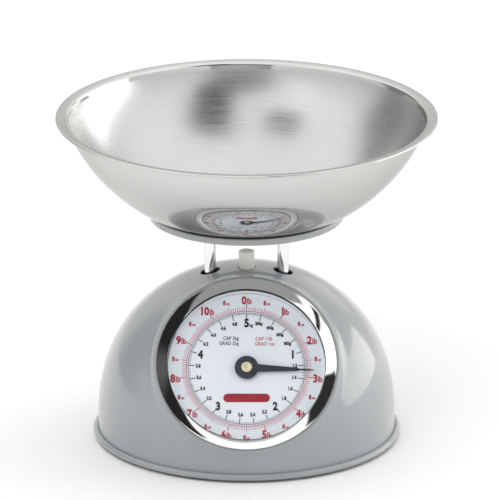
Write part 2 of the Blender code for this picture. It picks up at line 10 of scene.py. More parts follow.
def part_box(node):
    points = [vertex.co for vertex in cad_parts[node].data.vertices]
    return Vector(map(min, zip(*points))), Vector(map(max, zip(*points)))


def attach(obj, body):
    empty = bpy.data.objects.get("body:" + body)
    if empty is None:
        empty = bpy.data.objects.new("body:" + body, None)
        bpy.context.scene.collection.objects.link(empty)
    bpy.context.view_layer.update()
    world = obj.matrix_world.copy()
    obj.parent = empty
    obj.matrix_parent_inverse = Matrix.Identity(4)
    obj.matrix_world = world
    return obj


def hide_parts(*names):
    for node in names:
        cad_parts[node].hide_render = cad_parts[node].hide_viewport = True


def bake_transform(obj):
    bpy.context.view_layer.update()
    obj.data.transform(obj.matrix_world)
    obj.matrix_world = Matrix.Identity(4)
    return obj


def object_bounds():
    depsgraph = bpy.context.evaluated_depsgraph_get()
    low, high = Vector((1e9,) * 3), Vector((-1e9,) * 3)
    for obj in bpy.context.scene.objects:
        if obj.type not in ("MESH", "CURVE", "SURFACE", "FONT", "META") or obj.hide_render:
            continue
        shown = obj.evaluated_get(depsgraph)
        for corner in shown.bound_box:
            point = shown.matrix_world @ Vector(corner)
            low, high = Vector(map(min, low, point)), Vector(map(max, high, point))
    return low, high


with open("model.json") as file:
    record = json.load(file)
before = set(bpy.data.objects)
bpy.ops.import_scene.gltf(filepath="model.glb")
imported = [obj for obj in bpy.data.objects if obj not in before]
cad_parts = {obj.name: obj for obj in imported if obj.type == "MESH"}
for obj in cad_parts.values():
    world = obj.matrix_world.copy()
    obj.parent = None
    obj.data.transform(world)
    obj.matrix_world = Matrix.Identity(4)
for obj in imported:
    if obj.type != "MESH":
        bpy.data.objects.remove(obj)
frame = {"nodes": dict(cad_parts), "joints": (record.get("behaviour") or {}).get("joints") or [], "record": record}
cad_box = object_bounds()

# Shapes are written in millimetres, in the row frame or in the dial's own frame.
MM = 0.001
IN_MM = Matrix.Scale(MM, 4)

joints = {joint["name"]: joint for joint in frame["joints"]}
pointer_joint = joints["pointer_spin"]
outward = -Vector(pointer_joint["axis"]).normalized()
DIAL_TILT = math.atan2(-outward.y, outward.z)
# The dial's own frame: its origin on the pointer's axis, +Z out of the dial and +Y towards the zero mark
DIAL = Matrix.Translation(pointer_joint["pos_m"]) @ Matrix.Rotation(DIAL_TILT, 4, "X")


def span(node):
    """A CAD node's lowest and highest corners, in millimetres."""
    low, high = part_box(node)
    return low / MM, high / MM


# ---------------------------------------------------------------- materials


def material(name, **sockets):
    made = bpy.data.materials.new(name)
    made.use_nodes = True
    shader = made.node_tree.nodes["Principled BSDF"]
    for socket, value in sockets.items():
        shader.inputs[socket.replace("_", " ")].default_value = value
    return made


def node(made, kind, **settings):
    new = made.node_tree.nodes.new(kind)
    for name, value in settings.items():
        if name[0].isupper():
            new.inputs[name.replace("_", " ")].default_value = value
        else:
            setattr(new, name, value)
    return new


def link(made, output, target):
    made.node_tree.links.new(output, target)


def shader_of(made):
    return made.node_tree.nodes["Principled BSDF"]


def grain(made, scale, detail=3.0, stretch=(1, 1, 1), around=False):
    """Noise in the row frame. With around, it runs in rings round the Z axis, as polishing leaves them."""
    place = node(made, "ShaderNodeTexCoord").outputs["Object"]
    if around:
        split = node(made, "ShaderNodeSeparateXYZ")
        link(made, place, split.inputs[0])
        turn = node(made, "ShaderNodeMath", operation="ARCTAN2")
        link(made, split.outputs["Y"], turn.inputs[0])
        link(made, split.outputs["X"], turn.inputs[1])
        flat = node(made, "ShaderNodeCombineXYZ")
        link(made, split.outputs["X"], flat.inputs[0])
        link(made, split.outputs["Y"], flat.inputs[1])
        reach = node(made, "ShaderNodeVectorMath", operation="LENGTH")
        link(made, flat.outputs[0], reach.inputs[0])
        wrapped = node(made, "ShaderNodeCombineXYZ")
        link(made, reach.outputs["Value"], wrapped.inputs[0])
        link(made, turn.outputs[0], wrapped.inputs[1])
        link(made, split.outputs["Z"], wrapped.inputs[2])
        place = wrapped.outputs[0]
    mapping = node(made, "ShaderNodeMapping", Scale=stretch)
    link(made, place, mapping.inputs["Vector"])
    noise = node(made, "ShaderNodeTexNoise", Scale=scale, Detail=detail, Roughness=0.55)
    link(made, mapping.outputs[0], noise.inputs["Vector"])
    return noise.outputs["Fac"]


def drive(made, source, socket, low, high):
    """Spreads a noise over a range of the shader's socket."""
    spread = node(made, "ShaderNodeMapRange", From_Min=0.3, From_Max=0.7, To_Min=low, To_Max=high)
    link(made, source, spread.inputs["Value"])
    link(made, spread.outputs["Result"], shader_of(made).inputs[socket])


def tint(made, source, first, second):
    """Spreads a noise between two base colours."""
    ramp = node(made, "ShaderNodeValToRGB")
    for stop, place, colour in zip(ramp.color_ramp.elements, (0.35, 0.65), (first, second)):
        stop.position = place
        stop.color = (*colour, 1)
    link(made, source, ramp.inputs["Fac"])
    link(made, ramp.outputs["Color"], shader_of(made).inputs["Base Color"])


def bump(made, source, distance, strength=1.0):
    lifted = node(made, "ShaderNodeBump", Strength=strength, Distance=distance)
    link(made, source, lifted.inputs["Height"])
    link(made, lifted.outputs["Normal"], shader_of(made).inputs["Normal"])


def enamel():
    made = material("grey_enamel_look", Coat_Weight=0.75, Coat_Roughness=0.05, Coat_IOR=1.6)
    tint(made, grain(made, 14), (0.300, 0.315, 0.328), (0.325, 0.340, 0.352))
    drive(made, grain(made, 90), "Roughness", 0.28, 0.36)
    bump(made, grain(made, 520, 2.0), 0.00004, 0.35)
    return made


def polished_steel():
    made = material("polished_steel_look", Metallic=1.0, Specular_Tint=(0.72, 0.72, 0.71, 1))
    rings = grain(made, 1400, 2.0, (1, 0.0025, 1), around=True)
    tint(made, grain(made, 9), (0.60, 0.60, 0.585), (0.65, 0.65, 0.635))
    drive(made, rings, "Roughness", 0.05, 0.10)
    bump(made, rings, 0.000004, 0.25)
    return made


def satin_steel():
    """The duller, wheel-brushed finish inside the bowl."""
    made = material("satin_steel_look", Metallic=1.0)
    rings = grain(made, 1100, 3.0, (1, 0.0025, 1), around=True)
    tint(made, grain(made, 9), (0.56, 0.56, 0.55), (0.61, 0.61, 0.60))
    drive(made, rings, "Roughness", 0.24, 0.32)
    bump(made, rings, 0.000006, 0.35)
    return made


def painted_inner_shade():
    """Painted shade: a dull black that stands in for the shadow on the short wall between the bezel and the window.
    """
    made = material("painted_shade_black_look", Specular_IOR_Level=0.3)
    tint(made, grain(made, 600), (0.010, 0.010, 0.012), (0.022, 0.022, 0.024))
    drive(made, grain(made, 900), "Roughness", 0.40, 0.55)
    return made


def chrome():
    made = material("chrome_look", Metallic=1.0, Specular_Tint=(0.6, 0.6, 0.61, 1))
    tint(made, grain(made, 30), (0.80, 0.81, 0.82), (0.86, 0.865, 0.87))
    drive(made, grain(made, 220), "Roughness", 0.025, 0.055)
    bump(made, grain(made, 260, 1.0), 0.00002, 0.12)
    return made


def plated_steel():
    made = material("zinc_look", Metallic=1.0)
    tint(made, grain(made, 60, 4.0), (0.42, 0.44, 0.46), (0.60, 0.61, 0.60))
    drive(made, grain(made, 240), "Roughness", 0.30, 0.50)
    bump(made, grain(made, 1500), 0.00002, 0.3)
    return made


def spring_wire():
    made = material("spring_look", Metallic=1.0)
    tint(made, grain(made, 120), (0.20, 0.20, 0.21), (0.34, 0.34, 0.34))
    drive(made, grain(made, 400), "Roughness", 0.28, 0.42)
    return made


def turned_brass():
    made = material("brass_look", Metallic=1.0)
    tint(made, grain(made, 160), (0.78, 0.66, 0.44), (0.88, 0.78, 0.58))
    drive(made, grain(made, 700), "Roughness", 0.22, 0.34)
    bump(made, grain(made, 2600, 1.0), 0.00001, 0.3)
    return made


def ink(name, first, second, rough=0.45):
    made = material(name, Specular_IOR_Level=0.4)
    tint(made, grain(made, 700), first, second)
    drive(made, grain(made, 900), "Roughness", rough - 0.06, rough + 0.08)
    return made


def card():
    made = material("dial_card_look", Specular_IOR_Level=0.35)
    tint(made, grain(made, 40), (0.90, 0.925, 0.965), (0.92, 0.94, 0.975))
    drive(made, grain(made, 500), "Roughness", 0.42, 0.55)
    bump(made, grain(made, 3000, 2.0), 0.000006, 0.3)
    return made


def cream():
    made = material("cream_look", Subsurface_Weight=0.12, Subsurface_Scale=0.002, Specular_IOR_Level=0.45)
    tint(made, grain(made, 90), (0.94, 0.935, 0.83), (0.96, 0.955, 0.87))
    drive(made, grain(made, 320), "Roughness", 0.34, 0.46)
    bump(made, grain(made, 900), 0.00003, 0.25)
    return made


def rubber():
    made = material("rubber_look")
    tint(made, grain(made, 220), (0.022, 0.022, 0.023), (0.040, 0.040, 0.040))
    drive(made, grain(made, 700), "Roughness", 0.62, 0.82)
    bump(made, grain(made, 1600), 0.00006, 0.5)
    return made


def clear_plastic():
    """Lets what is behind it through and adds a faint gloss, from its front faces only."""
    made = bpy.data.materials.new("clear_look")
    made.use_nodes = True
    made.node_tree.nodes.remove(shader_of(made))
    through = node(made, "ShaderNodeBsdfTransparent", Color=(0.975, 0.985, 0.99, 1))
    gloss = node(made, "ShaderNodeBsdfGlossy", Color=(1, 1, 1, 1))
    smear = node(made, "ShaderNodeMapRange", From_Min=0.3, From_Max=0.7, To_Min=0.01, To_Max=0.04)
    link(made, grain(made, 60), smear.inputs["Value"])
    link(made, smear.outputs["Result"], gloss.inputs["Roughness"])
    edge = node(made, "ShaderNodeFresnel", IOR=1.25)
    side = node(made, "ShaderNodeNewGeometry")
    front = node(made, "ShaderNodeMath", operation="SUBTRACT", use_clamp=True)
    link(made, edge.outputs[0], front.inputs[0])
    link(made, side.outputs["Backfacing"], front.inputs[1])
    mixed = node(made, "ShaderNodeMixShader")
    link(made, front.outputs[0], mixed.inputs[0])
    link(made, through.outputs[0], mixed.inputs[1])
    link(made, gloss.outputs[0], mixed.inputs[2])
    link(made, mixed.outputs[0], made.node_tree.nodes["Material Output"].inputs["Surface"])
    return made


LOOKS = {
    "grey_enamel": enamel(),
    "stainless_steel": polished_steel(),
    "chrome": chrome(),
    "zinc_plate": plated_steel(),
    "spring_steel": spring_wire(),
    "brass": turned_brass(),
    "dial_white": card(),
    "badge_red": ink("badge_look", (0.34, 0.004, 0.028), (0.41, 0.006, 0.038), 0.35),
    "needle_black": ink("needle_look", (0.010, 0.017, 0.029), (0.016, 0.024, 0.039), 0.32),
    "cream_plastic": cream(),
    "clear_plastic": clear_plastic(),
    "rubber": rubber(),
}
BLACK_INK = ink("black_ink_look", (0.004, 0.005, 0.007), (0.012, 0.013, 0.016))
RED_INK = ink("red_ink_look", (0.46, 0.004, 0.035), (0.54, 0.008, 0.048))
SATIN_STEEL = satin_steel()
PAINTED_SHADE_BLACK = painted_inner_shade()


# ---------------------------------------------------------------- mesh tools


SHARP = 35


def piece(name, bm, slot, body, *nodes, place=None, look=None, sharp=SHARP):
    """Makes a named piece of a mesh in millimetres. It rides on a body and stands for those CAD nodes."""
    bmesh.ops.recalc_face_normals(bm, faces=bm.faces)
    mesh = bpy.data.meshes.new(name)
    bm.to_mesh(mesh)
    bm.free()
    mesh.transform((place or Matrix.Identity(4)) @ IN_MM)
    mesh.shade_smooth()
    mesh.set_sharp_from_angle(angle=math.radians(sharp))
    mesh.materials.append(look or LOOKS[slot])
    obj = bpy.data.objects.new(name, mesh)
    bpy.context.scene.collection.objects.link(obj)
    if body:
        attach(obj, body)
    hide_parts(*nodes)
    return obj


def mesh_of(points, faces):
    bm = bmesh.new()
    verts = [bm.verts.new(point) for point in points]
    for face in faces:
        bm.faces.new([verts[k] for k in face])
    return bm


def ring_faces(rings, closed):
    """Joins rings of vertex numbers into faces. A ring of one is a point on the axis."""
    faces = []
    count = max(len(ring) for ring in rings)
    following = rings[1:] + rings[:1] if closed else rings[1:]
    for near, far in zip(rings, following):
        if len(near) == len(far) == 1:
            continue
        for k in range(count):
            j = (k + 1) % count
            corners = [near[k % len(near)], near[j % len(near)], far[j % len(far)], far[k % len(far)]]
            faces.append(list(dict.fromkeys(corners)))
    return faces


def lathe(outline, steps=128):
    """Turns a closed outline of (radius, height) points about Z."""
    points, rings = [], []
    for radius, height in outline:
        count = steps if radius > 1e-6 else 1
        rings.append(list(range(len(points), len(points) + count)))
        for k in range(count):
            turn = math.tau * k / steps
            points.append((radius * math.cos(turn), radius * math.sin(turn), height))
    return mesh_of(points, ring_faces(rings, True))


def rounded(corners, steps=5):
    """Rounds the corners of a closed outline, each given as (x, y, radius)."""
    outline = []
    for k, (x, y, radius) in enumerate(corners):
        corner = Vector((x, y))
        before = Vector(corners[k - 1][:2]) - corner
        after = Vector(corners[(k + 1) % len(corners)][:2]) - corner
        if not radius:
            outline.append((x, y))
            continue
        reach = radius / math.tan(before.angle(after) / 2)
        start = corner + before.normalized() * min(reach, before.length * 0.49)
        end = corner + after.normalized() * min(reach, after.length * 0.49)
        for step in range(steps + 1):
            t = step / steps
            outline.append(tuple(start * (1 - t) ** 2 + corner * 2 * t * (1 - t) + end * t * t))
    return outline


def bezier(start, pull_start, pull_end, end, steps):
    points = []
    for k in range(steps + 1):
        t = k / steps
        weights = ((1 - t) ** 3, 3 * t * (1 - t) ** 2, 3 * t * t * (1 - t), t**3)
        controls = (start, pull_start, pull_end, end)
        points.append(tuple(sum(w * c[axis] for w, c in zip(weights, controls)) for axis in (0, 1)))
    return points


def circle_arc(centre, radius, start, end, steps):
    points = []
    for k in range(steps + 1):
        angle = math.radians(start + (end - start) * k / steps)
        points.append((centre[0] + radius * math.cos(angle), centre[1] + radius * math.sin(angle)))
    return points


def prism(outline, low, high, bevel):
    """A flat outline of (x, y) points with a thickness, its upper edges rounded off."""
    bm = bmesh.new()
    face = bm.faces.new([bm.verts.new((x, y, low)) for x, y in outline])
    made = bmesh.ops.extrude_face_region(bm, geom=[face])["geom"]
    top = [v for v in made if isinstance(v, bmesh.types.BMVert)]
    bmesh.ops.translate(bm, vec=(0, 0, high - low), verts=top)
    edges = [edge for edge in bm.edges if all(v.co.z > low + 1e-6 for v in edge.verts)]
    bmesh.ops.bevel(bm, geom=edges, offset=bevel, segments=2, profile=0.5, affect="EDGES")
    return bm


def add_to(target, bm, matrix=None):
    """Adds one mesh to another, and uses it up."""
    carrier = bpy.data.meshes.new("carrier")
    bm.to_mesh(carrier)
    bm.free()
    if matrix is not None:
        carrier.transform(matrix)
    target.from_mesh(carrier)
    bpy.data.meshes.remove(carrier)
    return target


def apply_modifiers(obj):
    bpy.context.view_layer.update()
    result = bpy.data.meshes.new_from_object(obj.evaluated_get(bpy.context.evaluated_depsgraph_get()))
    obj.modifiers.clear()
    obj.data = result


def cut(obj, cutter):
    """Takes the closed meshes in cutter, in millimetres, out of obj for good."""
    bmesh.ops.recalc_face_normals(cutter, faces=cutter.faces)
    mesh = bpy.data.meshes.new("cutter")
    cutter.to_mesh(mesh)
    cutter.free()
    mesh.transform(IN_MM)
    tool = bpy.data.objects.new("cutter", mesh)
    bpy.context.scene.collection.objects.link(tool)
    modifier = obj.modifiers.new("cut", "BOOLEAN")
    modifier.operation, modifier.object, modifier.solver = "DIFFERENCE", tool, "EXACT"
    apply_modifiers(obj)
    bpy.data.objects.remove(tool)
    obj.data.shade_smooth()
    obj.data.set_sharp_from_angle(angle=math.radians(SHARP))


def tube(points, radius, sides=10):
    """A round wire along a line of points, with closed ends."""
    points = [Vector(point) for point in points]
    verts, rings = [], []
    # Any start will do that isn't along the wire
    across = Vector((1, 0.3, 0.2)).normalized()
    for k, point in enumerate(points):
        ahead = (points[min(k + 1, len(points) - 1)] - points[max(k - 1, 0)]).normalized()
        across = (across - ahead * across.dot(ahead)).normalized()
        other = ahead.cross(across)
        rings.append(list(range(len(verts), len(verts) + sides)))
        for side in range(sides):
            turn = math.tau * side / sides
            verts.append(point + (across * math.cos(turn) + other * math.sin(turn)) * radius)
    return mesh_of(verts, ring_faces(rings, False) + [rings[0][::-1], rings[-1]])


# ---------------------------------------------------------------- housing

# The dome's side is a Bezier curve from its shoulder to its top, turned about Z
DOME_R = 101.6
DOME_SHOULDER = 17.3
DOME_SIDE_PULL = 62.8
DOME_TOP_PULL = 55.5
DOME_TOP = 119.8
# The dial's collar, with its heights along the dial's axis
COLLAR_R = 62.6
COLLAR_TOP = -0.35
COLLAR_BACK = -60
COLLAR_EDGE = 1.0
COLLAR_BLEND = 6.5
MOUTH_R = 61.45
MOUTH_WALL = 3.5
# A point behind the dial from which rays reach all of the shell once
RAY_START = (0, -10, -45)
RAY_REACH = 260.0
RAY_STEPS = 44
SHELL_LOW = 4.8
WALL = 1.1
POST_HOLE_R = 6.8
KNOB_HOLE_R = 6.3
BEAD_R = 2.2
BEAD_Z = 3.8


def smooth_least(first, second, blend):
    share = np.clip(0.5 + 0.5 * (second - first) / blend, 0, 1)
    return second * (1 - share) + first * share - blend * share * (1 - share)


side_pull = (DOME_R, DOME_SHOULDER + DOME_SIDE_PULL)
top_pull = (DOME_TOP_PULL, DOME_TOP)
dome_line = np.array(bezier((DOME_R, DOME_SHOULDER), side_pull, top_pull, (0, DOME_TOP), 200))
DOME_RISE = np.arctan2(dome_line[:, 1] - DOME_SHOULDER, dome_line[:, 0])
DOME_REACH = np.hypot(dome_line[:, 0], dome_line[:, 1] - DOME_SHOULDER)
FROM_DIAL = np.array((DIAL @ IN_MM).inverted() @ IN_MM)


def dome_gap(points):
    """How far points stand outside the dome and the dial's collar, which meet in a fillet."""
    across, rise = np.hypot(points[..., 0], points[..., 1]), points[..., 2] - DOME_SHOULDER
    angle = np.arctan2(rise, across)
    reach = np.where(angle < 0, DOME_R / np.cos(angle), np.interp(angle, DOME_RISE, DOME_REACH))
    shell = np.hypot(across, rise) - reach
    local = points @ FROM_DIAL[:3, :3].T + FROM_DIAL[:3, 3]
    ring = np.hypot(local[..., 0], local[..., 1]) - COLLAR_R
    collar = -smooth_least(-ring, COLLAR_TOP - local[..., 2], COLLAR_EDGE)
    collar = np.maximum(collar, COLLAR_BACK - local[..., 2])
    return smooth_least(shell, collar, COLLAR_BLEND)


def housing_mesh(rows=96, columns=288):
    """A grid from the dial's mouth out over the dome to its foot, found along rays from a point inside."""
    start = np.array(DIAL @ IN_MM @ Vector(RAY_START)) / MM
    turn = np.linspace(0, math.tau, columns, endpoint=False)
    across, along = np.sin(turn), -np.cos(turn)
    mouth = [MOUTH_R * across, MOUTH_R * along, np.full(columns, COLLAR_TOP), np.ones(columns)]
    mouth = ((np.array(DIAL @ IN_MM) @ np.stack(mouth))[:3] / MM).T
    foot = np.stack([DOME_R * across, DOME_R * along, np.full(columns, SHELL_LOW)]).T
    first, last = mouth - start, foot - start
    first /= np.linalg.norm(first, axis=1)[:, None]
    last /= np.linalg.norm(last, axis=1)[:, None]
    whole = np.arccos((first * last).sum(1))[:, None]
    rings = [mouth - np.array(outward) * MOUTH_WALL, mouth]
    for row in range(1, rows + 1):
        share = (row / rows) ** 1.5
        way = (first * np.sin((1 - share) * whole) + last * np.sin(share * whole)) / np.sin(whole)
        near, far = np.zeros(columns), np.full(columns, RAY_REACH)
        for _ in range(RAY_STEPS):
            middle = (near + far) / 2
            outside = dome_gap(start + way * middle[:, None]) > 0
            near, far = np.where(outside, near, middle), np.where(outside, middle, far)
        rings.append(start + way * near[:, None])
    rings[-1] = foot
    points = np.concatenate(rings)
    numbers = [list(range(k * columns, (k + 1) * columns)) for k in range(len(rings))]
    return mesh_of([tuple(point) for point in points], ring_faces(numbers, False))


def cylinder(radius, low, high, x=0.0, y=0.0, steps=64):
    bm = lathe([(0, high), (radius, high), (radius, low), (0, low)], steps)
    bmesh.ops.translate(bm, vec=(x, y, 0), verts=bm.verts)
    return bm


POST_X = (span("post_right")[0].x + span("post_right")[1].x) / 2


def make_housing():
    shell = piece("housing", housing_mesh(), "grey_enamel", "root", "dome_housing")
    thick = shell.modifiers.new("wall", "SOLIDIFY")
    thick.thickness, thick.offset = WALL * MM, -1
    apply_modifiers(shell)
    holes = cylinder(KNOB_HOLE_R, 108, 135)
    for side in (-1, 1):
        add_to(holes, cylinder(POST_HOLE_R, 100, 135, side * POST_X))
    cut(shell, holes)
    bead = lathe(circle_arc((span("dome_housing")[1].x - BEAD_R, BEAD_Z), BEAD_R, 0, 345, 23), 256)
    piece("housing_bead", bead, "grey_enamel", "root", "dome_housing")


# ---------------------------------------------------------------- dial

# Inside this radius the bezel's inner wall gets painted shade, a dull black that stands in for its shadow
BEZEL_INNER = 53.8
PRINT_R = 53.6
PRINT_DEPTH = 11.5
PLATE_WALL = 0.6
BADGE_END_X = 12.85
BADGE_R = 2.95
BADGE_Y = -20.9

# The two printed scales: their rings, and the middles of their numbers
INK_WALL = 0.05
LETTER_SQUEEZE = 0.82
KILO_RING = 39.9
KILO_LABELS = 33.0
FULL_KILOS = 5
KILO_TICKS = 200
POUND_RING = 41.0
POUND_LABELS = 48.9
FULL_POUNDS = 11
POUND_TICKS = 176
CAPACITY_Y = 21.4
GRADUATION_Y = 17.8

# The load in the bowl turns the pointer this far from zero
LOAD_TURN = 92.2
HAND_TOP = -7.3


def make_bezel():
    outline = [(58.9, -6.4, 0), (60.2, -6.4, 0), (61.2, -6.4, 0.3), (61.2, -0.05, 0.4)]
    crown = bezier((60.75, -0.2), (58.47, -0.59), (56.18, -1.08), (53.9, -1.67), 12)
    outline += [(radius, height, 0) for radius, height in crown]
    outline += [(53.4, -1.85, 0.1), (53.4, -4.9, 0.1), (54.6, -4.9, 0)]
    ring = piece("bezel", lathe(rounded(outline), 192), "chrome", "root", "bezel_ring", place=DIAL)
    # The bezel's inner wall gets the painted shade, a black that stands in for its shadow
    ring.data.materials.append(PAINTED_SHADE_BLACK)
    inward = DIAL.inverted()
    for face in ring.data.polygons:
        spot = (inward @ face.center) / MM
        if math.hypot(spot.x, spot.y) < BEZEL_INNER:
            face.material_index = 1


def make_case():
    lens = rounded([(0, -5.2, 0), (56.0, -5.2, 0.15), (56.0, -6.2, 0.15), (0, -6.2, 0)])
    piece("window", lathe(lens, 128), "clear_plastic", "root", "lens", place=DIAL)
    cup = [(2.9, -12.4), (54.0, -12.4), (54.0, -6.5), (56.3, -6.5), (56.3, -5.2), (57.2, -5.2)]
    cup += [(57.2, -13.6), (2.9, -13.6)]
    piece("dial_case", lathe(cup, 128), "dial_white", "root", "dial_cup", place=DIAL)
    top, under = -PRINT_DEPTH, -PRINT_DEPTH - PLATE_WALL
    face = [(3.2, top), (PRINT_R, top), (PRINT_R, under), (3.2, under)]
    piece("dial_face", lathe(face, 128), "dial_white", "root", "dial_plate", place=DIAL)
    pill = []
    for side, turn in ((1, 0), (-1, 180)):
        pill += circle_arc((side * BADGE_END_X, 0), BADGE_R, turn - 90, turn + 90, 20)
    lift = Matrix.Translation((0, BADGE_Y * MM, -PRINT_DEPTH * MM))
    piece("badge", prism(pill, 0.05, 0.55, 0.15), "badge_red", "root", "dial_badge", place=DIAL @ lift)


def letters(text, height, weight, squeeze):
    """A text as a mesh in millimetres, with its left edge, its width and its middle height."""
    curve = bpy.data.curves.new("letters", "FONT")
    curve.body, curve.size = text, height / 0.72
    curve.offset, curve.extrude, curve.resolution_u = weight, INK_WALL / 2, 4
    obj = bpy.data.objects.new("letters", curve)
    bpy.context.scene.collection.objects.link(obj)
    bpy.context.view_layer.update()
    bm = bmesh.new()
    bm.from_mesh(obj.evaluated_get(bpy.context.evaluated_depsgraph_get()).to_mesh())
    bpy.data.objects.remove(obj)
    bpy.data.curves.remove(curve)
    bmesh.ops.remove_doubles(bm, verts=bm.verts, dist=1e-4)
    bmesh.ops.scale(bm, vec=(squeeze, 1, 1), verts=bm.verts)
    xs, ys = [v.co.x for v in bm.verts], [v.co.y for v in bm.verts]
    return bm, min(xs), max(xs) - min(xs), (max(ys) + min(ys)) / 2


def label(target, x, y, *parts):
    """Parts of (text, height, weight), set side by side on one line and centred on a point."""
    made = [letters(text, height, weight, LETTER_SQUEEZE) for text, height, weight in parts]
    gap = 0.3
    left = x - (sum(width for _, _, width, _ in made) + gap * (len(made) - 1)) / 2
    base = y - made[0][3]
    for bm, edge, width, _ in made:
        add_to(target, bm, Matrix.Translation((left - edge, base, INK_WALL / 2)))
        left += width + gap


def around(degrees, radius):
    turn = math.radians(degrees)
    return radius * math.sin(turn), radius * math.cos(turn)


def tick(target, degrees, inner, outer, width):
    """A mark between two radii, as a flat bar."""
    bm = bmesh.new()
    bmesh.ops.create_cube(bm, size=1)
    bmesh.ops.scale(bm, vec=(width, outer - inner, INK_WALL), verts=bm.verts)
    bmesh.ops.translate(bm, vec=(0, (inner + outer) / 2, INK_WALL / 2), verts=bm.verts)
    bmesh.ops.rotate(bm, matrix=Matrix.Rotation(math.radians(-degrees), 3, "Z"), verts=bm.verts)
    add_to(target, bm)


def circle(target, radius, width):
    half = width / 2
    section = [(radius - half, 0), (radius + half, 0), (radius + half, INK_WALL), (radius - half, INK_WALL)]
    add_to(target, lathe(section, 192))


def make_black_print():
    bm = bmesh.new()
    circle(bm, KILO_RING, 0.34)
    for k in range(KILO_TICKS):
        length, width = (4.5, 0.6) if k % 8 == 0 else (2.0, 0.36) if k % 4 == 0 else (1.6, 0.3)
        tick(bm, k * 360 / KILO_TICKS, KILO_RING - length, KILO_RING, width)
    labels = 5 * FULL_KILOS
    label(bm, 1.4, 32.6, (f"{FULL_KILOS}", 5.6, 0.42), ("kg", 2.4, 0.12))
    for k in range(1, labels):
        kilos = k / 5
        place = around(k * 360 / labels, KILO_LABELS)
        if k % 5 == 0:
            label(bm, *place, (f"{kilos:.0f}", 5.6, 0.42))
        elif kilos < 1:
            label(bm, *place, (f"{kilos * 1000:.0f}g", 2.2, 0.2))
        else:
            label(bm, *place, (f"{kilos:.1f}", 2.4, 0.22))
    label(bm, -10.6, CAPACITY_Y, ("CAP 5kg", 2.6, 0.07))
    label(bm, -12.0, GRADUATION_Y, ("GRAD 25g", 2.6, 0.07))
    place = DIAL @ Matrix.Translation((0, 0, -PRINT_DEPTH * MM))
    piece("dial_print_black", bm, "needle_black", "root", place=place, look=BLACK_INK)


def make_red_print():
    bm = bmesh.new()
    circle(bm, POUND_RING, 0.4)
    for k in range(POUND_TICKS):
        length, width = (5.0, 0.6) if k % 16 == 0 else (3.9, 0.46) if k % 8 == 0 else (3.0, 0.38)
        tick(bm, k * 360 / POUND_TICKS, POUND_RING, POUND_RING + length, width)
    step = 360 / FULL_POUNDS
    for k in range(FULL_POUNDS):
        label(bm, *around(k * step, POUND_LABELS), (f"{k}", 5.5, 0.36), ("lb", 4.2, 0.17))
        label(bm, *around((k + 0.5) * step, POUND_LABELS), ("8", 3.1, 0.22), ("oz", 2.1, 0.12))
    label(bm, 11.8, CAPACITY_Y, ("CAP 11lb", 2.6, 0.07))
    label(bm, 12.4, GRADUATION_Y, ("GRAD 1oz", 2.6, 0.07))
    place = DIAL @ Matrix.Translation((0, 0, -PRINT_DEPTH * MM))
    piece("dial_print_red", bm, "badge_red", "root", place=place, look=RED_INK)


def make_pointer():
    load_turn = Matrix.Rotation(math.radians(-LOAD_TURN), 4, "Z")
    top, under = HAND_TOP, HAND_TOP - 2.0
    disc = [(0, top, 0), (6.9, top, 0.7), (8.1, top - 0.75, 0.25), (8.1, under, 0.15), (0, under, 0)]
    hub = lathe(rounded(disc), 96)
    edge = [(2.75, 5.5), (2.6, 10.0), (1.15, 34.0), (0.5, 36.4), (0.4, 41.0), (0.25, 46.0)]
    arm = prism([(-x, y) for x, y in edge] + edge[::-1], under, top - 1.25, 0.16)
    add_to(hub, arm)
    piece("pointer_hand", hub, "needle_black", "pointer", "pointer", place=DIAL @ load_turn)
    cap = [(0, top + 0.45, 0), (0.9, top + 0.5, 0.2), (1.25, top + 0.9, 0.2), (3.1, top + 0.95, 0.4)]
    cap += [(3.75, top + 0.35, 0.3), (3.75, top + 0.05, 0), (0, top + 0.05, 0)]
    piece("hub_cap", lathe(rounded(cap), 64), "brass", "pointer", "pointer_cap", place=DIAL)


# ---------------------------------------------------------------- carriage and knob

# The plate's posts stand in recesses in its top, which hide their screws' heads
RECESS_R = 4.1
POST_R = 3.9
KNOB_R = 5.5
KNOB_BORE_R = 2.8
KNOB_BORE_TOP = 126

def make_carriage():
    low, high = span("platform")
    rim, top = high.z, high.z - 0.8
    outline = [(0, top, 0), (63.8, top, 0.6), (64.9, rim, 0.5), (66.8, rim, 0.9), (66.8, low.z, 0.8)]
    outline += [(65.4, low.z, 0.3), (64.4, top - 2.0, 0.8), (0, top - 2.0, 0)]
    platform = piece("carrier_plate", lathe(rounded(outline), 192), "grey_enamel", "carriage", "platform")
    recess = cylinder(RECESS_R, top - 1.0, top + 5, -POST_X)
    cut(platform, add_to(recess, cylinder(RECESS_R, top - 1.0, top + 5, POST_X)))
    for side, sign in (("left", -1), ("right", 1)):
        low, high = span(f"post_{side}")
        corners = [(0, high.z, 0), (POST_R, high.z, 0.3), (POST_R, low.z, 0.6), (0, low.z, 0)]
        place = Matrix.Translation((sign * POST_X * MM, 0, 0))
        piece(f"chrome_post_{side}", lathe(rounded(corners), 64), "chrome", "carriage", f"post_{side}", place=place)


def make_knob():
    low, high = span("zero_knob")
    corners = [(0, high.z - 0.5, 0), (2.9, high.z - 0.4, 0.5), (3.5, high.z, 0.5), (KNOB_R, high.z, 0.8)]
    corners += [(KNOB_R, high.z - 6.0, 3.0), (KNOB_R + 0.1, low.z + 1.5, 1.0), (KNOB_R + 0.1, low.z, 0.2)]
    corners += [(KNOB_BORE_R, low.z, 0), (KNOB_BORE_R, KNOB_BORE_TOP, 0), (0, KNOB_BORE_TOP, 0)]
    piece("tare_knob", lathe(rounded(corners), 96), "cream_plastic", "knob", "zero_knob")


# The coils end just under the anchor bar, and leave room for it to slide down
SPRING_X = 12.0
SPRING_R = 4.4
SPRING_WIRE_R = 0.6
SPRING_TURNS = 22
SPRING_LOW = 49.2
SPRING_HIGH = 95.4


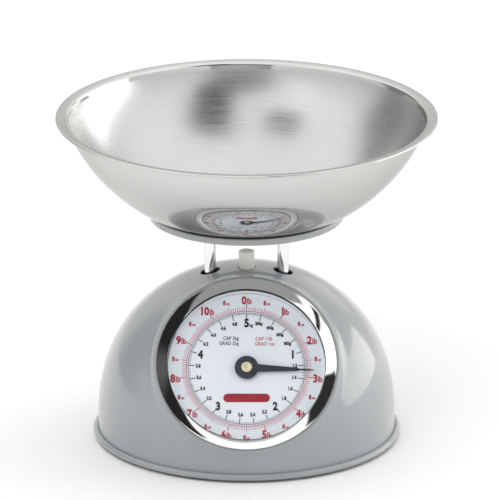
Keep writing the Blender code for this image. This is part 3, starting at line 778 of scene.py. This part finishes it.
def make_springs():
    per_turn = 20
    steps = SPRING_TURNS * per_turn
    for side, sign in (("left", -1), ("right", 1)):
        x = sign * SPRING_X
        points = [(x, 0, SPRING_LOW - drop) for drop in (4.5, 2.5, 0.6)]
        for k in range(steps + 1):
            turn = math.tau * k / per_turn
            height = SPRING_LOW + (SPRING_HIGH - SPRING_LOW) * k / steps
            points.append((x + SPRING_R * math.cos(turn), SPRING_R * math.sin(turn), height))
        points += [(x, 0, SPRING_HIGH + lift) for lift in (0.6, 2.5, 5.5)]
        coil = tube(points, SPRING_WIRE_R)
        coil = piece(f"coil_spring_{side}", coil, "spring_steel", None, f"spring_{side}")
        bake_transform(coil)


FOOT_R = 8.0
STUD_R = 4.0


def make_feet():
    for k in range(1, 5):
        low, high = span(f"foot_{k}")
        centre = (low + high) / 2
        corners = [(0, high.z, 0), (STUD_R, high.z, 0.6), (STUD_R, 4.5, 0), (2.6, 4.5, 0), (2.6, 2.7, 0)]
        corners += [(FOOT_R, 2.7, 0.3), (FOOT_R - 0.1, 0, 0.8), (6.0, 0, 0.2), (5.6, 0.35, 0.2)]
        foot = lathe(rounded(corners + [(0, 0.35, 0)]), 64)
        place = Matrix.Translation((centre.x * MM, centre.y * MM, 0))
        piece(f"rubber_foot_{k}", foot, "rubber", "root", f"foot_{k}", place=place)


# ---------------------------------------------------------------- bowl


BOWL_FLOOR_R = 60.3
BOWL_WALL = 0.9
# Below this height the bowl's inner faces have the satin finish
INSIDE_TOP = 224.0


def make_bowl():
    low, high = span("bowl")
    floor, rim_r, rim_z = low.z, high.x, high.z
    inside = floor + BOWL_WALL
    outer = bezier((BOWL_FLOOR_R, floor), (76.2, floor), (113.9, 194), (122.9, 225), 48)
    inner = bezier((BOWL_FLOOR_R, inside), (76.0, inside), (113.0, 194), (122.0, 225), 48)
    lip = bezier((122.3, 225.9), (122.9, 227.0), (125.4, 227.0), (rim_r - 1.8, rim_z - 0.02), 10)
    lip += circle_arc((rim_r - 0.75, rim_z - 0.75), 0.75, 75, -110, 8)
    lip += [(126.6, 225.9), (124.6, 225.8), (123.5, 225.5)]
    outline = [(0, inside)] + inner + lip + outer[::-1] + [(0, floor)]
    bowl = piece("mixing_bowl", lathe(outline, 256), "stainless_steel", "bowl", "bowl", sharp=50)
    bowl.data.materials.append(SATIN_STEEL)
    for face in bowl.data.polygons:
        middle = face.center / MM
        facing_in = face.normal.xy.dot(middle.xy) < 0 or middle.xy.length < BOWL_FLOOR_R
        if facing_in and face.normal.z > 0 and middle.z < INSIDE_TOP:
            face.material_index = 1


make_housing()
make_bezel()
make_case()
make_black_print()
make_red_print()
make_pointer()
make_carriage()
make_knob()
make_springs()
make_feet()
make_bowl()

# The CAD nodes that no piece replaces keep their shapes and get the same looks
slots = {part["node"]: part["material_slot"] for part in frame["record"]["subparts"]}
for name, obj in frame["nodes"].items():
    obj.data.materials.clear()
    obj.data.materials.append(LOOKS[slots[name]])


# ---------------------------------------------------------------- floor, light and camera

FLOOR_HALF = 14.0
BACKDROP = 1.0
SKY_LOW = 0.78
SKY_HIGH = 1.28

# Direction, half width and half height as slopes, softness, tilt in degrees, brightness
PANELS = [
    ((0.055, -0.86, 0.508), 0.345, 0.22, 0.015, 0, 0.34),
    ((-0.41, -0.52, 0.75), 0.22, 0.30, 0.02, 30, 1.5),
    ((0.335, -0.53, 0.78), 0.20, 0.33, 0.015, -28, 0.02),
    ((0.37, -0.49, 0.79), 0.10, 0.08, 0.06, -30, 0.11),
    ((-0.335, -0.372, 0.866), 0.16, 0.125, 0.012, 11, 0.03),
    ((-0.331, -0.69, 0.644), 0.10, 0.022, 0.01, 14, 0.03),
    ((0.94, 0.33, 0.06), 0.50, 0.30, 0.04, 0, 3.2),
    ((0.36, 0.86, 0.36), 0.16, 0.20, 0.06, 0, 1.3),
    ((-0.85, 0.46, 0.25), 0.35, 0.35, 0.12, 0, 0.30),
]

CAMERA_ELEVATION = 18.7
CAMERA_DISTANCE = 7.0
CAMERA_LENS = 738

def make_floor():
    mesh = bpy.data.meshes.new("floor")
    corners = [(x * FLOOR_HALF, y * FLOOR_HALF, 0) for x, y in ((-1, -1), (1, -1), (1, 1), (-1, 1))]
    mesh.from_pydata(corners, [], [(0, 1, 2, 3)])
    made = material("floor_look", Base_Color=(0.96, 0.96, 0.96, 1), Roughness=0.7, Specular_IOR_Level=0.2)
    mesh.materials.append(made)
    floor = bpy.data.objects.new("floor", mesh)
    bpy.context.scene.collection.objects.link(floor)


def world_node(tree, kind, **settings):
    new = tree.nodes.new(kind)
    for name, value in settings.items():
        setattr(new, name, value)
    return new


def studio():
    """A soft white surround with softboxes and dark flags, set in the world so that all views share it."""
    world = bpy.data.worlds.new("studio")
    bpy.context.scene.world = world
    world.use_nodes = True
    tree = world.node_tree
    background = tree.nodes["Background"]
    direction = world_node(tree, "ShaderNodeTexCoord").outputs["Generated"]

    def math_node(operation, first, second=None, third=None):
        new = world_node(tree, "ShaderNodeMath", operation=operation)
        for socket, value in zip(new.inputs, (first, second, third)):
            if isinstance(value, (int, float)):
                socket.default_value = value
            elif value is not None:
                tree.links.new(value, socket)
        return new.outputs[0]

    def along(axis):
        new = world_node(tree, "ShaderNodeVectorMath", operation="DOT_PRODUCT")
        tree.links.new(direction, new.inputs[0])
        new.inputs[1].default_value = axis
        return new.outputs["Value"]

    def step(value, low, high):
        new = world_node(tree, "ShaderNodeMapRange", interpolation_type="SMOOTHSTEP")
        tree.links.new(value, new.inputs["Value"])
        new.inputs["From Min"].default_value, new.inputs["From Max"].default_value = low, high
        return new.outputs["Result"]

    def blend(below, above, share):
        return math_node("ADD", below, math_node("MULTIPLY", share, math_node("SUBTRACT", above, below)))

    height = along((0, 0, 1))
    value = blend(SKY_LOW, SKY_HIGH, step(height, 0.1, 0.75))
    for aim, width, tall, soft, tilt, brightness in PANELS:
        aim = Vector(aim).normalized()
        right = Vector((0, 0, 1)).cross(aim).normalized()
        up = aim.cross(right)
        spin = Matrix.Rotation(math.radians(tilt), 3, aim)
        right, up = spin @ right, spin @ up
        ahead = along(aim)
        shares = [step(ahead, 0.0, 0.05)]
        for axis, half in ((right, width), (up, tall)):
            offset = math_node("ABSOLUTE", math_node("DIVIDE", along(axis), math_node("MAXIMUM", ahead, 0.05)))
            shares.append(step(math_node("SUBTRACT", half, offset), -soft, soft))
        share = math_node("MULTIPLY", shares[0], math_node("MULTIPLY", shares[1], shares[2]))
        value = blend(value, brightness, share)
    path = world_node(tree, "ShaderNodeLightPath")
    value = blend(value, BACKDROP, path.outputs["Is Camera Ray"])
    tree.links.new(value, background.inputs["Strength"])
    background.inputs["Color"].default_value = (1, 1, 1, 1)


def key_light(place, aim, size, power):
    """A soft light from above the camera, which no shiny surface shows."""
    lamp = bpy.data.lights.new("key", "AREA")
    lamp.size, lamp.energy = size, power
    obj = bpy.data.objects.new("key", lamp)
    obj.location = place
    obj.rotation_mode = "QUATERNION"
    obj.rotation_quaternion = (Vector(aim) - Vector(place)).to_track_quat("-Z", "Y")
    obj.visible_glossy = False
    bpy.context.scene.collection.objects.link(obj)


def make_camera():
    elevation = math.radians(CAMERA_ELEVATION)
    back = Vector((0, -math.cos(elevation), math.sin(elevation)))
    up = Vector((0, math.sin(elevation), math.cos(elevation)))
    aim = Vector((0.0023, 0, 0.5 * cad_box[1].z)) + up * 0.0171
    lens = bpy.data.cameras.new("camera")
    lens.lens, lens.sensor_width = CAMERA_LENS, 36
    lens.clip_start, lens.clip_end = 0.1, 200
    camera = bpy.data.objects.new("camera", lens)
    camera.location = aim + back * CAMERA_DISTANCE
    camera.rotation_mode = "QUATERNION"
    camera.rotation_quaternion = (-back).to_track_quat("-Z", "Y")
    bpy.context.scene.collection.objects.link(camera)
    bpy.context.scene.camera = camera


make_floor()
studio()
key_light((-0.5, -1.3, 1.9), (0, 0, 0.1), 1.2, 8)
make_camera()
bpy.context.scene.view_settings.view_transform = "Standard"
